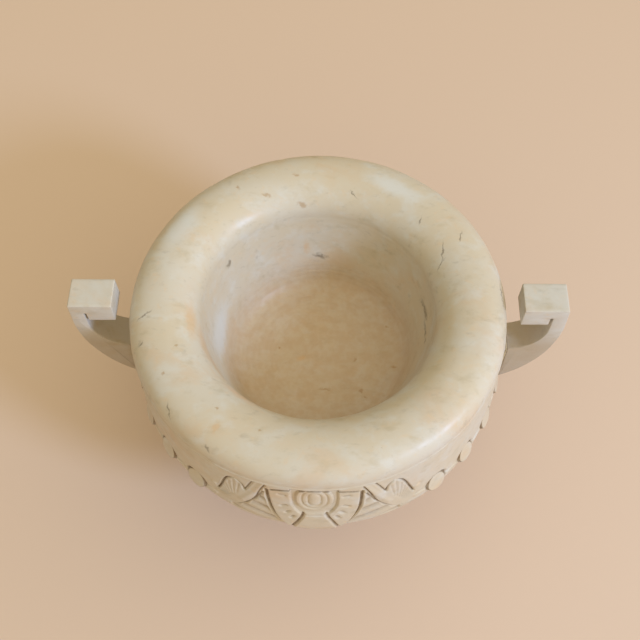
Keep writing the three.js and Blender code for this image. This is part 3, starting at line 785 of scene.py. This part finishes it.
# marks seen on the stone: angle from the right-hand handle in degrees, radius, height, length, width and
# turn from the outward direction
markKinds = {
    "crack": {"colour": "#6E6252", "most": 0.65, "edge": 1.4, "tallMm": 8.0},
    "spot": {"colour": "#A0763F", "most": 0.5, "edge": 1.5, "tallMm": 10.0},
    "rust": {"colour": "#D2A064", "most": 0.35, "edge": 1.7, "tallMm": 20.0},
    "pale": {"colour": "#D2D2CE", "most": 0.7, "edge": 1.4, "tallMm": 40.0},
}
marbleMarks = {
    "crack": (
        (42.5, 136, 270, 9, 1.6, 30), (27, 155, 272, 14, 1.6, 50), (24.8, 133, 269, 24, 1.6, 60),
        (20, 126, 265, 18, 1.4, 35), (74.8, 129, 267, 13, 1.5, 55), (3, 175, 264, 1.6, 24, 0),
        (187.2, 163, 270, 17, 1.6, 30), (197, 169, 268, 7, 1.5, 30), (221, 173, 265, 18, 1.8, 60),
        (238, 176, 263, 8, 2.0, 60), (145.5, 111, 233, 4, 30, 40), (90, 100, 190, 18, 3.0, 80),
        (8.2, 108, 220, 3, 30, 5), (356, 107, 214, 3, 34, 5),
    ),
    "spot": (
        (99.8, 147, 272, 7, 3.5, 70), (123, 153, 272, 5, 3.5, 0), (114.2, 133, 269, 9, 3.5, 60),
        (99, 119, 258, 9, 4, 70), (210.5, 160, 272, 3, 2, 0), (202, 139, 271, 3, 2, 0),
        (232.8, 144, 272, 3, 2.4, 0), (250.2, 143, 272, 3.5, 2, 0), (317, 61, 155, 5, 4, 0),
        (315, 69, 157, 4, 2.5, 0), (352, 38, 154, 5, 3, 60), (349, 80, 158, 6, 3, 0),
        (280, 41, 154, 12, 3, 80), (24, 79, 158, 3, 3, 0), (171, 43, 154, 3, 3, 0),
    ),
    "rust": (
        (237, 158, 272, 8, 5, 0), (190, 121, 261, 9, 34, 0), (201, 114, 249, 9, 40, 0),
        (213, 112, 240, 9, 40, 0), (234, 117, 256, 8, 30, 0), (98.3, 104, 202, 6, 6, 0),
        (192.5, 19, 153, 9, 6, 0),
    ),
    # the first pale patch, on the inner left wall, is painted light where the key lamp shines in over the rim
    "pale": ((178, 101, 195, 16, 66, 0), (150, 158, 272, 26, 60, 0), (60, 150, 272, 20, 60, 0)),
}


def layBlotches(tree, place, colour, blotch):
    along = {"Vector": place, "Location": blotch["shift"], "Rotation": marbleLook["bedding"]}
    along["Scale"] = (1 / blotch["drawn"], 1, 1)
    moved = addNode(tree, "ShaderNodeMapping", {"vector_type": "POINT"}, along)
    pattern = {"Vector": moved, "Scale": 0.5 / blotch["sizeMm"], "Detail": 5, "Roughness": 0.6}
    pattern["Distortion"] = 0.25
    cloud = addNode(tree, "ShaderNodeTexNoise", {}, pattern)
    limits = {"Value": cloud, "From Min": blotch["from"], "From Max": blotch["to"], "To Max": blotch["most"]}
    share = addNode(tree, "ShaderNodeMapRange", eased, limits)
    return addNode(tree, "ShaderNodeMix", mixed, {0: share, 6: colour, 7: linearColour(blotch["colour"])}, 2)


def layMarks(tree, place, colour, marks):
    crumbs = addNode(tree, "ShaderNodeTexNoise", {}, {"Vector": place, "Scale": 0.22, "Detail": 3}, 1)
    crumbs = addNode(tree, "ShaderNodeVectorMath", {"operation": "SUBTRACT"}, {0: crumbs, 1: (0.5, 0.5, 0.5)})
    spread = {0: crumbs, 1: (7, 7, 7), 2: place}
    ragged = addNode(tree, "ShaderNodeVectorMath", {"operation": "MULTIPLY_ADD"}, spread)
    for kind, look in markKinds.items():
        total = None
        for angle, radius, height, length, width, turn in marks[kind]:
            at = math.radians(angle)
            fitted = {"Vector": ragged, "Location": (radius * math.cos(at), radius * math.sin(at), height)}
            fitted["Rotation"] = (0, 0, math.radians(angle + turn))
            fitted["Scale"] = (length / 2, width / 2, look["tallMm"] / 2)
            local = addNode(tree, "ShaderNodeMapping", {"vector_type": "TEXTURE"}, fitted)
            away = addNode(tree, "ShaderNodeVectorMath", {"operation": "LENGTH"}, {0: local}, 1)
            limits = {"Value": away, "From Min": look["edge"], "From Max": 0.3, "To Max": look["most"]}
            share = addNode(tree, "ShaderNodeMapRange", eased, limits)
            if total:
                share = addNode(tree, "ShaderNodeMath", {"operation": "MAXIMUM"}, {0: total, 1: share})
            total = share
        laid = {0: total, 6: colour, 7: linearColour(look["colour"])}
        colour = addNode(tree, "ShaderNodeMix", mixed, laid, 2)
    return colour


# soil and painted shade darken the cuts, and the deep inside is tan and darker with painted shade
def layAge(tree, place, colour, look):
    depth = addNode(tree, "ShaderNodeAttribute", {"attribute_name": "soilAndShade"}, {}, 2)
    patchy = addNode(tree, "ShaderNodeTexNoise", {}, {"Vector": place, "Scale": 0.12, "Detail": 3})
    patchy = {"Value": patchy, "From Min": 0.3, "From Max": 0.7, "To Min": 0.6}
    patchy = addNode(tree, "ShaderNodeMapRange", eased, patchy)
    soiledAndShaded = {"Value": depth, "From Min": 0.12, "From Max": 1.0, "To Max": 0.9}
    soiledAndShaded = addNode(tree, "ShaderNodeMapRange", eased, soiledAndShaded)
    soiledAndShaded = addNode(tree, "ShaderNodeMath", {"operation": "MULTIPLY"}, {0: soiledAndShaded, 1: patchy})
    colour = addNode(tree, "ShaderNodeMix", mixed, {0: soiledAndShaded, 6: colour, 7: linearColour(look["soilAndShade"])}, 2)
    # tan stone and painted shade, mixed in more deeply inside the bowl
    level = addNode(tree, "ShaderNodeVectorMath", {"operation": "MULTIPLY"}, {0: place, 1: (1, 1, 0)})
    radius = addNode(tree, "ShaderNodeVectorMath", {"operation": "LENGTH"}, {0: level}, 1)
    within = addNode(tree, "ShaderNodeMapRange", eased, {"Value": radius, "From Min": 122, "From Max": 104})
    height = addNode(tree, "ShaderNodeSeparateXYZ", {}, {"Vector": place}, 2)
    deep = {"Value": height, "From Min": rimHeight - 50, "From Max": rimHeight - 95, "To Max": 0.75}
    deep = addNode(tree, "ShaderNodeMapRange", eased, deep)
    inner = addNode(tree, "ShaderNodeMath", {"operation": "MULTIPLY"}, {0: within, 1: deep})
    inner = addNode(tree, "ShaderNodeMath", {"operation": "MULTIPLY"}, {0: inner, 1: patchy})
    return addNode(tree, "ShaderNodeMix", mixed, {0: inner, 6: colour, 7: linearColour(look["innerTanAndShade"])}, 2)


def makeMarble(name, look, blotches, marked):
    material, tree = newMaterial(name)
    coords = addNode(tree, "ShaderNodeTexCoord", {}, {}, 3)
    place = addNode(tree, "ShaderNodeVectorMath", {"operation": "SCALE"}, {0: coords, "Scale": 1 / mm})
    colour = linearColour(look["base"])
    for blotch in blotches:
        colour = layBlotches(tree, place, colour, blotch)
    # painted shade: the arms turn browner and darker further below the rim
    if "armPaintedShade" in look:
        height = addNode(tree, "ShaderNodeSeparateXYZ", {}, {"Vector": place}, 2)
        low = {"Value": height, "From Min": rimHeight - 5, "From Max": rimHeight - 50, "To Max": 0.5}
        low = addNode(tree, "ShaderNodeMapRange", eased, low)
        laid = {0: low, 6: colour, 7: linearColour(look["armPaintedShade"])}
        colour = addNode(tree, "ShaderNodeMix", mixed, laid, 2)
    if marked:
        colour = layAge(tree, place, colour, look)
        colour = layMarks(tree, place, colour, marbleMarks)
    polish = addNode(tree, "ShaderNodeTexNoise", {}, {"Vector": place, "Scale": 0.06, "Detail": 4})
    spread = look["roughSpread"] / 2
    polish = {"Value": polish, "From Min": 0.3, "From Max": 0.7}
    polish.update({"To Min": look["roughness"] - spread, "To Max": look["roughness"] + spread})
    polish = addNode(tree, "ShaderNodeMapRange", eased, polish)
    grain = {"Vector": place, "Scale": 0.5 / look["grainMm"], "Detail": 3, "Roughness": 0.7}
    grain = addNode(tree, "ShaderNodeTexNoise", {}, grain)
    grain = {"Height": grain, "Strength": 0.6, "Distance": look["grainDepthMm"] * mm}
    bump = addNode(tree, "ShaderNodeBump", {}, grain)
    surface = {"Base Color": colour, "Roughness": polish, "Normal": bump, "Specular IOR Level": look["sheen"]}
    shader = addNode(tree, "ShaderNodeBsdfPrincipled", {}, surface)
    addNode(tree, "ShaderNodeOutputMaterial", {}, {"Surface": shader})
    return material


# what lies inside the joints: dry grainy lime mortar, yellowed resin with a slight gloss, and cast bronze
# gone dull and brown
hiddenLooks = {
    "mortarLimeDry": {"colour": "#B8AE9A", "dark": "#958B78",
        "rough": 0.9, "metal": 0.0, "grainMm": 1.2},
    "adhesiveResinYellowed": {"colour": "#C2AD86", "dark": "#A58E66",
        "rough": 0.55, "metal": 0.0, "grainMm": 2.0},
    "bronzeCastDull": {"colour": "#8A6B40", "dark": "#6B5232",
        "rough": 0.45, "metal": 1.0, "grainMm": 3.0},
}


def makeHidden(name, look):
    material, tree = newMaterial(name)
    coords = addNode(tree, "ShaderNodeTexCoord", {}, {}, 3)
    place = addNode(tree, "ShaderNodeVectorMath", {"operation": "SCALE"}, {0: coords, "Scale": 1 / mm})
    grain = {"Vector": place, "Scale": 0.5 / look["grainMm"], "Detail": 4}
    grain = addNode(tree, "ShaderNodeTexNoise", {}, grain)
    share = addNode(tree, "ShaderNodeMapRange", eased, {"Value": grain, "From Min": 0.35, "From Max": 0.65})
    ends = {0: share, 6: linearColour(look["dark"]), 7: linearColour(look["colour"])}
    colour = addNode(tree, "ShaderNodeMix", mixed, ends, 2)
    bump = addNode(tree, "ShaderNodeBump", {}, {"Height": grain, "Strength": 0.3, "Distance": 0.3 * mm})
    surface = {"Base Color": colour, "Roughness": look["rough"], "Metallic": look["metal"], "Normal": bump}
    shader = addNode(tree, "ShaderNodeBsdfPrincipled", {}, surface)
    addNode(tree, "ShaderNodeOutputMaterial", {}, {"Surface": shader})
    return material


carvedMarble = makeMarble("marbleCarvedHoned", marbleLook, marbleBlotches, True)
turnedMarble = makeMarble("marbleTurnedHoned", marbleLook, marbleBlotches, False)
handleMarble = makeMarble("marbleHandleHoned", handleLook, marbleBlotches + handleVeins, False)
hidden = {name: makeHidden(name, look) for name, look in hiddenLooks.items()}
print("materials made")


def dress(piece, material, node):
    piece.data.materials.append(material)
    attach(piece, "root")
    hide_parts(node)
    print(piece.name, "made,", len(piece.data.polygons), "faces")


dress(buildBowl(1440, 480), carvedMarble, "bowl")
dress(buildFoot(), turnedMarble, "foot")
dress(buildStem(), turnedMarble, "stem")
for sideName, side in (("Left", -1), ("Right", 1)):
    node = "handle_" + sideName.lower()
    resin = hidden["adhesiveResinYellowed"]
    dress(buildHandle("marbleHandle" + sideName, side), handleMarble, node)
    dress(buildBed("resinBed" + sideName, side), resin, node + "_bedding")

for nodeName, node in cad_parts.items():
    finish = None
    if "bedding" in nodeName:
        finish = "adhesiveResinYellowed" if "handle" in nodeName else "mortarLimeDry"
    elif "dowel" in nodeName or "rod" in nodeName:
        finish = "bronzeCastDull"
    if finish:
        for materialSlot in node.material_slots:
            materialSlot.material = hidden[finish]
print("hidden pieces finished")


# plain pale floor, a soft cool key lamp from the right, and a warm fill that comes mostly from above
# and a little from the right and the front
stageLook = {
    "floor": "#D6BDA7",
    "floorReach": 30.0,
    "fill": "#FFF5D8",
    "fillStrength": 0.82,
    "fillEven": 0.42,
    "fillLean": (0.55, -0.3, 0.95),
    "fillLeast": 0.03,
    "key": "#B2CEFF",
    "keyPlace": (2.4, -1.54, 1.85),
    "keySize": 0.7,
    "keyPower": 78.0,
}


def makeStage(look):
    reach = look["floorReach"]
    mesh = bpy.data.meshes.new("floorSheet")
    corners = [(-reach, -reach, 0), (reach, -reach, 0), (reach, reach, 0), (-reach, reach, 0)]
    mesh.from_pydata(corners, [], [(0, 1, 2, 3)])
    floor = bpy.data.objects.new("floorSheet", mesh)
    scene.collection.objects.link(floor)
    material, tree = newMaterial("paperSeamlessMatt")
    surface = {"Base Color": linearColour(look["floor"]), "Roughness": 0.95, "Specular IOR Level": 0.1}
    shader = addNode(tree, "ShaderNodeBsdfPrincipled", {}, surface)
    addNode(tree, "ShaderNodeOutputMaterial", {}, {"Surface": shader})
    mesh.materials.append(material)
    world = bpy.data.worlds.new("softFill")
    scene.world = world
    world.use_nodes = True
    tree = world.node_tree
    tree.nodes.clear()
    seen = addNode(tree, "ShaderNodeLightPath", {}, {}, "Is Camera Ray")
    way = addNode(tree, "ShaderNodeTexCoord", {}, {}, 0)
    lean = {0: way, 1: look["fillLean"]}
    lean = addNode(tree, "ShaderNodeVectorMath", {"operation": "DOT_PRODUCT"}, lean, 1)
    level = addNode(tree, "ShaderNodeMath", {"operation": "ADD"}, {0: lean, 1: look["fillEven"]})
    level = addNode(tree, "ShaderNodeMath", {"operation": "MAXIMUM"}, {0: level, 1: look["fillLeast"]})
    level = addNode(tree, "ShaderNodeMath", {"operation": "MULTIPLY"}, {0: level, 1: look["fillStrength"]})
    fill = {"Color": linearColour(look["fill"]), "Strength": level}
    fill = addNode(tree, "ShaderNodeBackground", {}, fill)
    shown = addNode(tree, "ShaderNodeBackground", {}, {"Color": linearColour(look["floor"]), "Strength": 1.0})
    both = addNode(tree, "ShaderNodeMixShader", {}, {0: seen, 1: fill, 2: shown})
    addNode(tree, "ShaderNodeOutputWorld", {}, {"Surface": both})
    lamp = bpy.data.lights.new("keyLamp", "AREA")
    lamp.shape = "DISK"
    lamp.size = look["keySize"]
    lamp.energy = look["keyPower"]
    lamp.color = linearColour(look["key"])[:3]
    key = bpy.data.objects.new("keyLamp", lamp)
    place = Matrix.Translation(look["keyPlace"])
    target = Matrix.Translation((0, 0, rimHeight * mm))
    aim = (target.translation - place.translation).to_track_quat("-Z", "Y")
    key.matrix_world = place @ aim.to_matrix().to_4x4()
    scene.collection.objects.link(key)


makeStage(stageLook)
scene.view_settings.view_transform = "Standard"
print("stage and lamps set")
